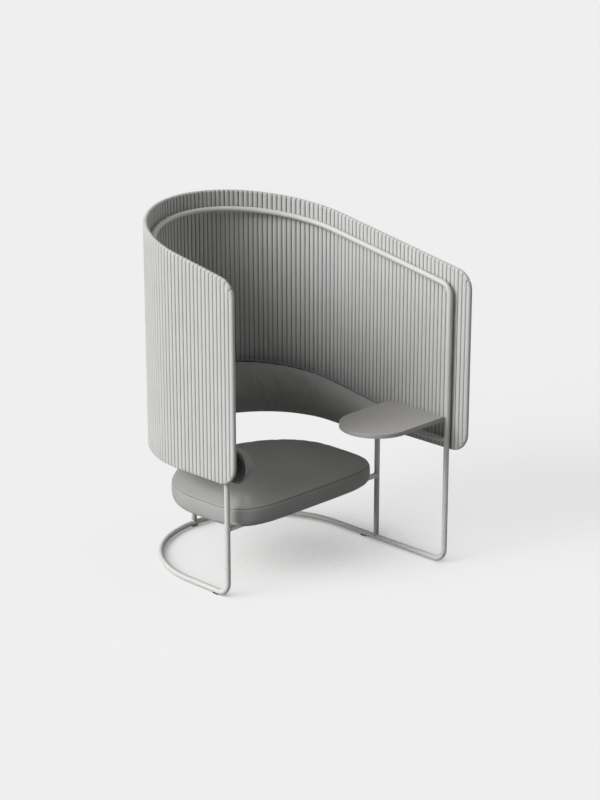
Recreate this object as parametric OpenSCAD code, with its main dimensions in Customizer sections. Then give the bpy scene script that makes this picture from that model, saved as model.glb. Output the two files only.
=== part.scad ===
// High back lounge chair with a ribbed acoustic screen and a side table.
// Millimetres. Z is up, the sitter faces -Y, the side table is on +X.
// The origin is on the floor, in the middle of the chair's outline.
// The plan of frame, screen and backrest is a half circle with two straight arms.
// Sizes named "front" or "back" are measured from the centre of that half circle.

/* [Frame] */
// Outer diameter of the frame tubes
tube_d = 22; // [18:1:26]
// Distance between the tubes of the left and right arm, centre to centre
frame_w = 840; // [780:10:900]
// Front reach of the left leg and of the side post
leg_front = 227; // [200:1:280]
// Front reach of the right leg, which carries the table
table_leg_front = 594; // [570:1:640]
// Centre line radius of the bends between rails and legs
bend_r = 50; // [40:1:60]
// Height of the top rail's centre line at the centre of the half circle
top_rail_z = 1263; // [1150:1:1350]
// Fall of the top rail towards the front, in degrees
top_slope = 10.6; // [6:0.1:13]
// Height of the screen rail's centre line
screen_rail_z = 524; // [500:1:545]
// Height of the seat bars' centre line
seat_bar_z = 286; // [240:1:300]

/* [Glides] */
// Thickness of a glide under the tube
glide_drop = 4; // [3:0.5:8]
// Length of a glide along the tube
glide_len = 28; // [20:1:40]
// Width of a glide
glide_w = 14; // [10:1:18]
// Distance of the front glides behind the left leg and the side post
glide_setback = 68; // [55:1:90]

/* [Screen] */
// Gap between the tubes and the screen
screen_gap = 10; // [6:1:14]
// Thickness of the bent core board
core_t = 8; // [6:1:12]
// Thickness of each ribbed cover at the top of its ribs
cover_t = 6; // [5:0.5:10]
// Depth of the grooves between the ribs
groove_depth = 4; // [2:0.5:4]
// Width of one rib
rib_pitch = 20; // [16:1:40]
// Height of the screen's lower edge
screen_bottom_z = 480; // [455:1:495]
// Height of the screen's top edge above the top rail's centre line
screen_rise = 69; // [50:1:90]
// Reach of the screen past the legs, towards the front
screen_overhang = 81; // [60:1:100]
// Radius of the screen's front corners
screen_corner_r = 80; // [60:1:100]
// Step from the edge of the core board to the edge of the covers
cover_inset = 2; // [1:0.5:4]

/* [Seat] */
// Gap between the seat cushion and the tubes at its sides
seat_gap = 9; // [6:1:40]
// Front reach of the seat cushion
seat_front = 292; // [260:1:320]
// Back reach of the seat cushion
seat_back = 328; // [300:1:350]
// Height of the cushion's side, up to the seam
seat_side_h = 53; // [40:1:70]
// Height of the cushion's crown above the seam
seat_crown_h = 46; // [30:1:60]
// Thickness of the seat board
seat_board_t = 12; // [9:1:18]
// Thickness of the steel plates that carry the seat board
seat_plate_t = 3; // [2:0.5:5]

/* [Backrest] */
// Height of the backrest's lower edge
back_bottom_z = 472; // [455:1:490]
// Height of the backrest's top edge at the centre of the half circle
back_top_z = 648; // [620:1:680]
// Fall of the backrest's top edge towards the front, in degrees
back_slope = 9.1; // [5:0.1:12]
// Front reach of the backrest
back_front = 312; // [280:1:330]
// Gap between the screen rail and the backrest shell
back_gap = 5; // [4:0.5:10]
// Thickness of the backrest shell
back_shell_t = 6; // [5:0.5:10]
// Thickness of the backrest cushion
back_cushion_t = 64; // [45:1:80]
// Step from the edge of the cushion to the edge of the shell
back_shell_inset = 9; // [6:1:16]

/* [Table] */
// Depth of the table top, front to back
table_depth = 290; // [250:2:320]
// Length of the table top
table_len = 380; // [330:2:420]
// Thickness of the table top
table_t = 18; // [12:1:24]
// Height of the table's upper face
table_z = 627; // [600:1:680]
// Thickness of the flat bar that carries the table
bracket_t = 5; // [4:0.5:8]
// Width of that flat bar
bracket_w = 40; // [30:1:60]
// Length of that flat bar under the table
bracket_len = 180; // [120:5:240]

/* [Hidden] */

// Fineness of round shapes, and of the large arcs of the plan
$fn = 96;
arc_fineness = 360;
// Overrun of every cut
over = 1;
// Clearance between a soft piece and what it rests on
soft_gap = 0.3;

paint = [0.74, 0.74, 0.72];
felt = [0.70, 0.70, 0.69];
cloth = [0.33, 0.34, 0.33];
steel = [0.62, 0.62, 0.62];
laminate = [0.50, 0.49, 0.48];

half_w = frame_w / 2;
tube_r = tube_d / 2;
seat_w = frame_w - tube_d - 2 * seat_gap;
floor_rail_z = glide_drop + tube_r;
bar_top_z = seat_bar_z + tube_r;

// Radii of the screen's layers, from the inside out
cover_in_r = half_w + tube_r + screen_gap;
core_in_r = cover_in_r + cover_t;
core_out_r = core_in_r + core_t;
screen_out_r = core_out_r + cover_t;
left_wing_front = leg_front + screen_overhang;
right_wing_front = table_leg_front + screen_overhang;

// Place of the half circle's centre, which puts the origin in the middle of the outline
arc_y = (right_wing_front - screen_out_r) / 2;

// The arms of the top rail fall to the front, and its arc is moved back a little,
// so that its plan meets the plan of the floor rail at the back
rail_turn = 90 - top_slope;
arc_shift = half_w * (1 / cos(top_slope) - 1);
function rail_z(y) = top_rail_z + y * tan(top_slope);
// Height at which a leg's straight run ends below its top bend
function leg_top_z(front) = rail_z(bend_r * (1 - cos(rail_turn)) - front) - bend_r * sin(rail_turn);

// Fixings of the screen: turns round the half circle and reaches along the arms
fix_turns = [15, 45, 75, 105, 135, 165];
left_fix_shares = [0.6];
right_fix_shares = [0.3, 0.78];
boss_d = 14;
screw_d = 5;
screw_head_d = 10;
screw_head_h = 3;
screw_grip = 12;

// Fixings of the backrest
back_fix_turns = [20, 60, 120, 160];
back_fix_share = 0.5;
back_boss_d = 16;
back_screw_grip = 9;

module at_centre() translate([0, arc_y, 0]) children();

// Tube along the plan: a half circle and two arms, in the plane z = 0
module u_tube(left_len, right_len, shift = 0) {
    translate([0, shift, 0])
        rotate_extrude(angle = 180, $fn = arc_fineness)
            translate([half_w, 0])
                circle(r = tube_r);
    translate([half_w, shift, 0])
        rotate([90, 0, 0])
            cylinder(r = tube_r, h = right_len + shift);
    translate([-half_w, shift, 0])
        rotate([90, 0, 0])
            cylinder(r = tube_r, h = left_len + shift);
}

// Bend in an upright plane, from heading forward to heading up
module low_bend(front)
    translate([0, bend_r - front, floor_rail_z + bend_r])
        rotate([0, 90, 0])
            rotate([0, 0, -90])
                rotate_extrude(angle = 90)
                    translate([bend_r, 0])
                        circle(r = tube_r);

// Bend from heading forward along an arm to heading down, in the rail's own plane
module high_bend(front)
    translate([0, -slope_len(front), -bend_r])
        rotate([0, 90, 0])
            rotate([0, 0, 180])
                rotate_extrude(angle = rail_turn)
                    translate([bend_r, 0])
                        circle(r = tube_r);

module upright(x, front, low_z, high_z)
    translate([x, -front, low_z])
        cylinder(r = tube_r, h = high_z - low_z);

module floor_tube() {
    translate([0, 0, floor_rail_z])
        u_tube(leg_front - bend_r, table_leg_front - bend_r);
    translate([-half_w, 0, 0]) low_bend(leg_front);
    translate([half_w, 0, 0]) low_bend(table_leg_front);
}

// Length along the slope from the centre to where an arm meets its bend
function slope_len(front) = (front - bend_r * (1 - cos(rail_turn))) / cos(top_slope);

module on_slope()
    translate([0, 0, top_rail_z])
        rotate([top_slope, 0, 0])
            children();

module top_tube()
    on_slope() u_tube(slope_len(leg_front), slope_len(table_leg_front), arc_shift);

module left_upright() upright(-half_w, leg_front, floor_rail_z + bend_r, leg_top_z(leg_front));
module right_upright()
    upright(half_w, table_leg_front, floor_rail_z + bend_r, leg_top_z(table_leg_front));
module side_upright() upright(half_w, leg_front, floor_rail_z, screen_rail_z);
module rear_upright() upright(0, -half_w, floor_rail_z, screen_rail_z);
module screen_tube()
    translate([0, 0, screen_rail_z])
        u_tube(leg_front, table_leg_front);
module cross_tube()
    translate([-half_w, -leg_front, seat_bar_z])
        rotate([0, 90, 0])
            cylinder(r = tube_r, h = frame_w);

// Frame

module floor_rail() color(paint) at_centre() floor_tube();

module left_leg() color(paint) at_centre() left_upright();

module right_leg() color(paint) at_centre() right_upright();

module top_rail() color(paint) at_centre() top_tube();

// The bends that join the top rail to the legs
module top_bends() color(paint) at_centre() on_slope() {
    translate([-half_w, 0, 0]) high_bend(leg_front);
    translate([half_w, 0, 0]) high_bend(table_leg_front);
}

module screen_rail() color(paint) at_centre() difference() {
    screen_tube();
    left_upright();
    right_upright();
}

module side_post() color(paint) at_centre() difference() {
    side_upright();
    floor_tube();
    screen_tube();
}

module rear_post() color(paint) at_centre() difference() {
    rear_upright();
    floor_tube();
    screen_tube();
}

// Glides under the floor rail

module glide_blank(x, y)
    translate([x - glide_w / 2, y - glide_len / 2, 0])
        cube([glide_w, glide_len, floor_rail_z - tube_r / 2]);

module glides() color("black") at_centre() difference() {
    union() {
        glide_blank(-half_w, glide_setback - leg_front);
        glide_blank(half_w, glide_setback - leg_front);
        translate([0, half_w, 0])
            rotate([0, 0, 90])
                glide_blank(0, 0);
    }
    floor_tube();
}

// Seat carrier

module seat_cross_bar() color(paint) at_centre() difference() {
    cross_tube();
    left_upright();
    side_upright();
}

module seat_spine_bar() color(paint) at_centre() difference() {
    translate([0, -leg_front, seat_bar_z])
        rotate([-90, 0, 0])
            cylinder(r = tube_r, h = leg_front + half_w);
    cross_tube();
    rear_upright();
}

plate_len = 80;
plate_w = 34;
plate_pitch = 56;
cross_plate_share = 0.62;
spine_plate_share = 0.62;
seat_screw_d = 5;
seat_screw_head_d = 9;
seat_screw_head_h = 2.5;
seat_screw_grip = 9;

// Puts its children on each seat plate's centre, turned along the bar below it
module on_seat_plates() {
    for (side = [-1, 1])
        translate([side * seat_w / 2 * cross_plate_share, -leg_front, bar_top_z])
            rotate([0, 0, 90])
                children();
    translate([0, seat_back * spine_plate_share, bar_top_z]) children();
    translate([0, 0, bar_top_z]) children();
}

module on_plate_holes()
    on_seat_plates()
        for (side = [-1, 1])
            translate([side * plate_pitch / 2, 0, 0])
                children();

module seat_plates() color(steel) at_centre() difference() {
    on_seat_plates()
        translate([-plate_len / 2, -plate_w / 2, 0])
            cube([plate_len, plate_w, seat_plate_t]);
    on_plate_holes()
        translate([0, 0, -over])
            cylinder(d = seat_screw_d, h = seat_plate_t + 2 * over);
}

module seat_screws() color(steel) at_centre() on_plate_holes() {
    translate([0, 0, -seat_screw_head_h])
        cylinder(d = seat_screw_head_d, h = seat_screw_head_h);
    cylinder(d = seat_screw_d, h = seat_plate_t + seat_screw_grip);
}

// Seat outline: a half ellipse at the back and a squarer curve at the front
seat_points = 64;
front_square_share = 0.47;
function signed_power(v, p) = sign(v) * pow(abs(v), p);
function seat_outline(inset) = [
    for (i = [0:seat_points - 1])
        let (a = 360 * i / seat_points,
             p = a > 180 ? front_square_share : 1,
             depth = a > 180 ? seat_front : seat_back)
        [(seat_w / 2 - inset) * signed_power(cos(a), p), (depth - inset) * signed_power(sin(a), p)]
];

seat_low_z = bar_top_z + seat_plate_t;
seat_rim_w = 22;

module seat_board() color("burlywood") at_centre() difference() {
    translate([0, 0, seat_low_z])
        linear_extrude(seat_board_t)
            polygon(seat_outline(seat_rim_w));
    on_plate_holes()
        translate([0, 0, seat_plate_t - over])
            cylinder(d = seat_screw_d, h = seat_screw_grip + over);
}

// Rings of the seat cushion: inset as a share of the crown, height as a share of the side or crown
side_ring_shares = [[0.5, 0], [0.2, 0.06], [0.04, 0.22], [0, 0.55], [0.03, 0.9], [0.1, 1]];
crown_ring_shares = [[0.06, 0.05], [0.12, 0.17], [0.4, 0.37], [0.9, 0.53], [1.9, 0.68], [3.2, 0.82],
                     [4.8, 0.94], [5.8, 0.99]];

// Closed skin over rings of points, lowest ring first
module ring_skin(rings) {
    n = len(rings[0]);
    m = len(rings);
    flat_points = [for (ring = rings) for (p = ring) p];
    sides = [for (j = [0:m - 2]) for (i = [0:n - 1])
        let (a = j * n + i, b = j * n + (i + 1) % n)
        each [[a, a + n, b + n], [a, b + n, b]]];
    low_cap = [for (i = [1:n - 2]) [0, i, i + 1]];
    top = (m - 1) * n;
    high_cap = [for (i = [1:n - 2]) [top, top + i + 1, top + i]];
    polyhedron(points = flat_points, faces = concat(sides, low_cap, high_cap), convexity = 6);
}

module seat_cushion() color(cloth) at_centre() difference() {
    side_rings = [for (s = side_ring_shares)
        [for (p = seat_outline(s[0] * seat_crown_h))
            [p[0], p[1], seat_low_z + s[1] * seat_side_h]]];
    crown_rings = [for (s = crown_ring_shares)
        [for (p = seat_outline(s[0] * seat_crown_h))
            [p[0], p[1], seat_low_z + seat_side_h + s[1] * seat_crown_h]]];
    ring_skin(concat(side_rings, crown_rings));
    translate([0, 0, seat_low_z - over])
        linear_extrude(seat_board_t + soft_gap + over)
            polygon(seat_outline(seat_rim_w - soft_gap));
}

// Backrest

back_out_r = half_w - tube_r - back_gap;
back_in_r = back_out_r - back_shell_t;
back_end_factor = cos(back_slope) / (1 + cos(back_slope));
function back_top(y) = back_top_z + y * tan(back_slope);
// Radius and place of the round front ends, which touch the lower and the top edge
back_end_r = (back_top(-back_front) - back_bottom_z) * back_end_factor
             / (1 - tan(back_slope) * back_end_factor);
back_end_y = back_end_r - back_front;
back_end_z = back_bottom_z + back_end_r;

// Side view of the backrest, drawn with the height upwards
module back_profile(inset) {
    far = half_w + tube_d;
    r = back_end_r - inset;
    translate([back_end_y, back_end_z])
        circle(r = r);
    polygon([
        [back_end_y, back_end_z - r],
        [far, back_end_z - r],
        [far, back_top(far) - inset / cos(back_slope)],
        [back_end_y - r * sin(back_slope), back_end_z + r * cos(back_slope)]
    ]);
}

// Turns a side view into a solid across the chair, from low_x to high_x
module across(low_x, high_x)
    translate([low_x, 0, 0])
        rotate([90, 0, 90])
            linear_extrude(high_x - low_x)
                children();

// Plan of everything inside the half circle and arms of this radius
module inside_plan(r, front) {
    circle(r = r, $fn = arc_fineness);
    translate([-r, -front])
        square([2 * r, front]);
}

module plan_ring(low_r, high_r, front) difference() {
    inside_plan(high_r, front);
    inside_plan(low_r, front + over);
}

// Puts its children on the backrest's fixings, with +X pointing outwards
module on_back_fixings() {
    for (a = back_fix_turns)
        translate([0, 0, screen_rail_z])
            rotate([0, 0, a])
                translate([half_w, 0, 0])
                    children();
    for (side = [0, 180])
        translate([0, -leg_front * back_fix_share, screen_rail_z])
            rotate([0, 0, side])
                translate([half_w, 0, 0])
                    children();
}

// Round bar from low_x to high_x along +X
module bar_x(d, low_x, high_x)
    translate([low_x, 0, 0])
        rotate([0, 90, 0])
            cylinder(d = d, h = high_x - low_x);

module backrest_bosses() color(paint) at_centre() difference() {
    on_back_fixings() bar_x(back_boss_d, -tube_r - back_gap, 0);
    screen_tube();
    on_back_fixings() bar_x(screw_d, -tube_r - back_gap - over, -tube_r - back_gap + back_screw_grip);
}

module backrest_shell() color([0.16, 0.16, 0.16]) at_centre() difference() {
    intersection() {
        translate([0, 0, back_bottom_z])
            linear_extrude(back_top(half_w) - back_bottom_z)
                plan_ring(back_in_r, back_out_r, back_front);
        across(-half_w, half_w) back_profile(back_shell_inset);
    }
    on_back_fixings() bar_x(screw_d, -half_w / 2, 0);
}

// The screws stop short of the tube's wall behind the boss
module backrest_screws() color(steel) at_centre() difference() {
    on_back_fixings() {
        bar_x(screw_d, -tube_r - back_gap - back_shell_t, -tube_r);
        bar_x(screw_head_d, -tube_r - back_gap - back_shell_t - screw_head_h,
              -tube_r - back_gap - back_shell_t);
    }
    screen_tube();
}

// Sections of the backrest cushion, each square to the plan
back_section_points = 20;
back_end_steps = 6;
back_arm_steps = 4;
back_arc_steps = 28;
section_square_share = 0.55;
section_height_share = 0.66;
end_taper_share = 0.45;
end_tip_share = 0.995;
least_lift_share = 0.05;
back_face_r = back_in_r - soft_gap;
end_angles = [for (i = [1:back_end_steps]) 90 * (1 - i / back_end_steps)];
// Distances in front of the centre, from the tip of an arm to the start of the arc
arm_fronts = concat(
    [for (a = end_angles) -back_end_y + back_end_r * sin(a) * end_tip_share],
    [for (i = [1:back_arm_steps - 1]) -back_end_y * (1 - i / back_arm_steps)]);

function end_lift(front) =
    let (past = max(0, front + back_end_y) / back_end_r) sqrt(max(0, 1 - past * past));
// Section as [distance inwards from the shell, height]
function back_section(front) =
    let (y = -front,
         lift = end_lift(front),
         beyond = front > -back_end_y,
         mid_z = beyond ? back_end_z : (back_bottom_z + back_top(y)) / 2,
         half_h = beyond ? back_end_r * lift : (back_top(y) - back_bottom_z) / 2,
         thick = back_cushion_t * pow(max(lift, least_lift_share), end_taper_share))
    [for (i = [0:back_section_points - 1])
        let (a = 360 * i / back_section_points)
        [thick / 2 * (1 + signed_power(cos(a), section_square_share)),
         mid_z + half_h * signed_power(sin(a), section_height_share)]];
function arm_ring(side, front) =
    [for (s = back_section(front)) [side * (back_face_r - s[0]), -front, s[1]]];
function arc_ring(turn) =
    [for (s = back_section(-half_w * sin(turn)))
        [(back_face_r - s[0]) * cos(turn), (back_face_r - s[0]) * sin(turn), s[1]]];

module backrest_cushion() color(cloth) at_centre() {
    right_rings = [for (f = arm_fronts) arm_ring(1, f)];
    arc_rings = [for (i = [0:back_arc_steps]) arc_ring(180 * i / back_arc_steps)];
    left_rings = [for (i = [1:len(arm_fronts)]) arm_ring(-1, arm_fronts[len(arm_fronts) - i])];
    head_x = -tube_r - back_gap - back_shell_t - screw_head_h;
    difference() {
        ring_skin(concat(right_rings, arc_rings, left_rings));
        on_back_fixings() bar_x(screw_head_d + 2 * soft_gap, head_x - soft_gap, 0);
    }
}

// Screen

function screen_top(y) = top_rail_z + screen_rise + y * tan(top_slope);

// Side view of the screen with square front corners, drawn with the height upwards
module screen_side(inset) {
    near = inset - right_wing_front;
    far = screen_out_r + over;
    drop = inset / cos(top_slope);
    polygon([
        [near, screen_bottom_z + inset],
        [far, screen_bottom_z + inset],
        [far, screen_top(far) - drop],
        [near, screen_top(near) - drop]
    ]);
}

// What rounds the lower front corner of a wing takes away
module low_corner_cut(front, inset) difference() {
    translate([-front - over, screen_bottom_z - over])
        square(screen_corner_r + over);
    translate([screen_corner_r - front, screen_bottom_z + screen_corner_r])
        circle(r = screen_corner_r - inset);
}

// What rounds the upper front corner of a wing takes away
module high_corner_cut(front, inset) {
    mid_y = screen_corner_r - front;
    mid_z = screen_top(mid_y) - screen_corner_r / cos(top_slope);
    reach = screen_corner_r + over;
    difference() {
        polygon([
            [mid_y, mid_z],
            [mid_y - reach * sin(top_slope), mid_z + reach * cos(top_slope)],
            [-front - over, mid_z + reach * cos(top_slope)],
            [-front - over, mid_z]
        ]);
        translate([mid_y, mid_z])
            circle(r = screen_corner_r - inset);
    }
}

module screen_profile(inset) difference() {
    side_x = screen_out_r + over;
    across(-side_x, side_x) screen_side(inset);
    across(0, side_x) low_corner_cut(right_wing_front, inset);
    across(0, side_x) high_corner_cut(right_wing_front, inset);
    across(-side_x, 0) low_corner_cut(left_wing_front, inset);
    across(-side_x, 0) high_corner_cut(left_wing_front, inset);
    translate([-side_x, -right_wing_front - over, screen_bottom_z - over])
        cube([side_x, right_wing_front - left_wing_front + inset + over, screen_top(0)]);
}

module screen_prism()
    translate([0, 0, screen_bottom_z - over])
        linear_extrude(screen_top(screen_out_r) - screen_bottom_z + 2 * over)
            children();

// Ribbed line along the plan. A rib is an arch, and side is 1 outwards or -1 inwards
arch_shares = [0.06, 0.22, 0.5, 0.78, 0.94];
arch_square_share = 0.4;
function arch(t) = pow(sin(180 * t), arch_square_share);
function rib_count(length) = max(1, round(length / rib_pitch));
function ribbed_line(base_r, side) =
    let (left_n = rib_count(left_wing_front),
         arc_n = rib_count(PI * base_r),
         right_n = rib_count(right_wing_front))
    concat(
        [for (i = [0:left_n - 1]) for (t = arch_shares)
            [-base_r - side * groove_depth * arch(t), -left_wing_front * (1 - (i + t) / left_n)]],
        [for (i = [0:arc_n - 1]) for (t = arch_shares)
            let (a = 180 * (1 - (i + t) / arc_n), r = base_r + side * groove_depth * arch(t))
            [r * cos(a), r * sin(a)]],
        [for (i = [0:right_n - 1]) for (t = arch_shares)
            [base_r + side * groove_depth * arch(t), -right_wing_front * (i + t) / right_n]]);

groove_in_r = cover_in_r + groove_depth;
groove_out_r = screen_out_r - groove_depth;

module inner_cover_plan() difference() {
    inside_plan(core_in_r, right_wing_front);
    polygon(concat(
        [[-groove_in_r, -right_wing_front - over]],
        ribbed_line(groove_in_r, -1),
        [[groove_in_r, -right_wing_front - over]]));
}

module outer_cover_plan() difference() {
    polygon(concat(
        [[-groove_out_r, -right_wing_front]],
        ribbed_line(groove_out_r, 1),
        [[groove_out_r, -right_wing_front]]));
    inside_plan(core_out_r, right_wing_front + over);
}

// Puts its children on the screen's fixings along one rail, with +X pointing outwards
module on_screen_fixings(sloping) {
    rise = sloping ? tan(top_slope) : 0;
    base = sloping ? top_rail_z : screen_rail_z;
    for (a = fix_turns)
        translate([0, 0, base + half_w * sin(a) * rise])
            rotate([0, 0, a])
                translate([half_w, 0, 0])
                    children();
    for (s = left_fix_shares)
        translate([-half_w, -leg_front * s, base - leg_front * s * rise])
            rotate([0, 0, 180])
                children();
    for (s = right_fix_shares)
        translate([half_w, -table_leg_front * s, base - table_leg_front * s * rise])
            children();
}

module on_all_screen_fixings() {
    on_screen_fixings(true) children();
    on_screen_fixings(false) children();
}

boss_reach = core_in_r - half_w;

module screen_bosses() color(paint) at_centre() difference() {
    on_all_screen_fixings() bar_x(boss_d, 0, boss_reach);
    top_tube();
    screen_tube();
    on_all_screen_fixings() bar_x(screw_d, boss_reach - screw_grip, boss_reach + over);
}

module screen_core() color([0.45, 0.45, 0.44]) at_centre() difference() {
    intersection() {
        screen_prism() plan_ring(core_in_r, core_out_r, right_wing_front + over);
        screen_profile(0);
    }
    on_all_screen_fixings() {
        bar_x(screw_d, 0, boss_reach + core_t + over);
        bar_x(screw_head_d, boss_reach + core_t - screw_head_h, boss_reach + core_t + over);
    }
}

module screen_screws() color(steel) at_centre() on_all_screen_fixings() {
    bar_x(screw_d, boss_reach - screw_grip, boss_reach + core_t - screw_head_h);
    bar_x(screw_head_d, boss_reach + core_t - screw_head_h, boss_reach + core_t);
}

module screen_inner_cover() color(felt) at_centre() difference() {
    intersection() {
        screen_prism() inner_cover_plan();
        screen_profile(cover_inset);
    }
    on_all_screen_fixings() bar_x(boss_d, 0, boss_reach + over);
}

module screen_outer_cover() color(felt) at_centre() intersection() {
    screen_prism() outer_cover_plan();
    screen_profile(cover_inset);
}

// Table

table_edge_gap = 5;
table_right = half_w - tube_r - table_edge_gap;
table_front = table_leg_front;
table_low_z = table_z - table_t;
table_mid_z = table_z - table_t / 2;
pin_d = 8;
pin_depth = 25;
pin_inset = 5;
bracket_back_share = 0.14;
bracket_y = table_depth * (1 - bracket_back_share) - table_front;
table_screw_pitch = 60;
table_screw_grip = 12;

module pin_run(start_x)
    translate([0, pin_inset - table_front, table_mid_z])
        bar_x(pin_d, table_right - pin_depth, start_x);

module table_top() color(laminate) at_centre() difference() {
    translate([0, -table_front, table_low_z])
        linear_extrude(table_t)
            union() {
                translate([table_right - table_len + table_depth / 2, 0])
                    square([table_len - table_depth / 2, table_depth]);
                translate([table_right - table_len + table_depth / 2, table_depth / 2])
                    circle(d = table_depth);
            }
    pin_run(half_w);
    on_table_screws()
        translate([0, 0, -over])
            cylinder(d = screw_d, h = table_screw_grip + over);
}

module table_pin() color(paint) at_centre() difference() {
    pin_run(half_w);
    right_upright();
}

module on_table_screws()
    for (i = [0:2])
        translate([table_right - bracket_w / 2 - i * table_screw_pitch, bracket_y, table_low_z])
            children();

module table_bracket() color(paint) at_centre() difference() {
    union() {
        translate([table_right - bracket_len, bracket_y - bracket_w / 2, table_low_z - bracket_t])
            cube([bracket_len + table_edge_gap, bracket_w, bracket_t]);
        translate([table_right + table_edge_gap - bracket_t, bracket_y - bracket_w / 2, screen_rail_z])
            cube([bracket_t, bracket_w, table_low_z - screen_rail_z]);
    }
    screen_tube();
    on_table_screws()
        translate([0, 0, -bracket_t - over])
            cylinder(d = screw_d, h = bracket_t + 2 * over);
}

module table_screws() color(steel) at_centre() on_table_screws() {
    translate([0, 0, -bracket_t - screw_head_h])
        cylinder(d = screw_head_d, h = screw_head_h);
    translate([0, 0, -bracket_t])
        cylinder(d = screw_d, h = bracket_t + table_screw_grip);
}

floor_rail();
left_leg();
right_leg();
top_rail();
top_bends();
screen_rail();
side_post();
rear_post();
glides();
seat_cross_bar();
seat_spine_bar();
seat_plates();
seat_board();
seat_screws();
seat_cushion();
backrest_bosses();
backrest_shell();
backrest_screws();
backrest_cushion();
screen_bosses();
screen_core();
screen_screws();
screen_inner_cover();
screen_outer_cover();
table_top();
table_pin();
table_bracket();
table_screws();
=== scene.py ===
"""Looks of a high back lounge chair with a ribbed acoustic screen and a side table."""
import logging
import math
from collections.abc import Iterable, Sequence
from dataclasses import dataclass, field
from enum import Enum

import bmesh
import bpy
import numpy as np
from mathutils import Matrix, Vector
from mathutils.bvhtree import BVHTree


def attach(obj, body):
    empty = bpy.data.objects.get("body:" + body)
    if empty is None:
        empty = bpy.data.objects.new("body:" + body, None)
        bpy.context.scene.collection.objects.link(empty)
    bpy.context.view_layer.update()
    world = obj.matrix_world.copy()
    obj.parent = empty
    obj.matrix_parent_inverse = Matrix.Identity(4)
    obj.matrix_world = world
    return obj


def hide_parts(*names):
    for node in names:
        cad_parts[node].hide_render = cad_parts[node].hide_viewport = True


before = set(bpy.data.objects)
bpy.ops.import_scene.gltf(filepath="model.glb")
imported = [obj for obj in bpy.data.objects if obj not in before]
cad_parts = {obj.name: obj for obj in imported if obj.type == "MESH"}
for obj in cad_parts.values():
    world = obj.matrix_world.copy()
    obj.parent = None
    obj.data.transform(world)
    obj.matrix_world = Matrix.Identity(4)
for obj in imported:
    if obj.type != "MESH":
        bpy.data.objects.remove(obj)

LOG = logging.getLogger("lounge_chair")
BODY = "root"
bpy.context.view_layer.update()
Number = float | int
Rgb = tuple[float, float, float]
Faces = list[tuple[int, ...]]


# Node trees


class Wire:
    """A node socket whose operators add Math nodes."""

    def __init__(self, graph: "Graph", socket: bpy.types.NodeSocket) -> None:
        """Wraps an output socket of a graph."""
        self.graph = graph
        self.socket = socket

    def math(self, operation: str, *values: "Wire | Number") -> "Wire":
        """Adds a Math node; see the graph's method of the same name."""
        return self.graph.math(operation, *values)

    def __add__(self, other: "Wire | Number") -> "Wire":
        """Sum."""
        return self.math("ADD", self, other)

    def __sub__(self, other: "Wire | Number") -> "Wire":
        """Difference."""
        return self.math("SUBTRACT", self, other)

    def __rsub__(self, other: Number) -> "Wire":
        """Difference from a number."""
        return self.math("SUBTRACT", other, self)

    def __mul__(self, other: "Wire | Number") -> "Wire":
        """Product."""
        return self.math("MULTIPLY", self, other)

    def __truediv__(self, other: "Wire | Number") -> "Wire":
        """Quotient."""
        return self.math("DIVIDE", self, other)

    def __pow__(self, other: "Wire | Number") -> "Wire":
        """Power."""
        return self.math("POWER", self, other)

    __radd__ = __add__
    __rmul__ = __mul__

    def sine(self) -> "Wire":
        """Sine."""
        return self.math("SINE", self)

    def fract(self) -> "Wire":
        """Part after the decimal point."""
        return self.math("FRACT", self)

    def clamped(self) -> "Wire":
        """Value held between 0 and 1."""
        return self.math("MAXIMUM", self.math("MINIMUM", self, 1.0), 0.0)


class Graph:
    """A node tree that is filled through one method."""

    def __init__(self, tree: bpy.types.NodeTree) -> None:
        """Wraps the tree of a material, a world or a modifier."""
        self.tree = tree

    def add(self, kind: str, settings: dict[str, object] | None = None,
            sockets: dict[int | str, object] | None = None, out: int | str = 0) -> Wire:
        """Adds one node.

        Args:
            kind: Blender's name of the node's type.
            settings: Properties of the node, which are set first.
            sockets: Values or wires of the inputs, by name or number.
            out: Name or number of the output that is handed back.

        Returns:
            The output.
        """
        node = self.tree.nodes.new(kind)
        for key, value in (settings or {}).items():
            setattr(node, key, value)
        for key, value in (sockets or {}).items():
            if isinstance(value, Wire):
                self.tree.links.new(value.socket, node.inputs[key])
            elif isinstance(value, tuple) and node.inputs[key].type == "RGBA":
                node.inputs[key].default_value = (*value, 1.0)
            else:
                node.inputs[key].default_value = value
        return Wire(self, node.outputs[out] if node.outputs else None)

    def math(self, operation: str, *values: Wire | Number) -> Wire:
        """Adds a Math node, by Blender's name of the operation, with its inputs in order."""
        return self.add("ShaderNodeMath", {"operation": operation}, dict(enumerate(values)))

    def in_view(self) -> Wire:
        """1 for rays of the camera, of gloss and of glass, which see the pale background."""
        camera, gloss, glass = (self.add("ShaderNodeLightPath", out=f"Is {kind} Ray")
                                for kind in ("Camera", "Glossy", "Transmission"))
        return (camera + gloss + glass).clamped()


@dataclass(frozen=True)
class Grain:
    """Noise in object coordinates: cells a metre, octaves and the scale along each axis."""

    scale: float
    detail: float = 2.0
    stretch: Rgb = (1.0, 1.0, 1.0)


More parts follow.
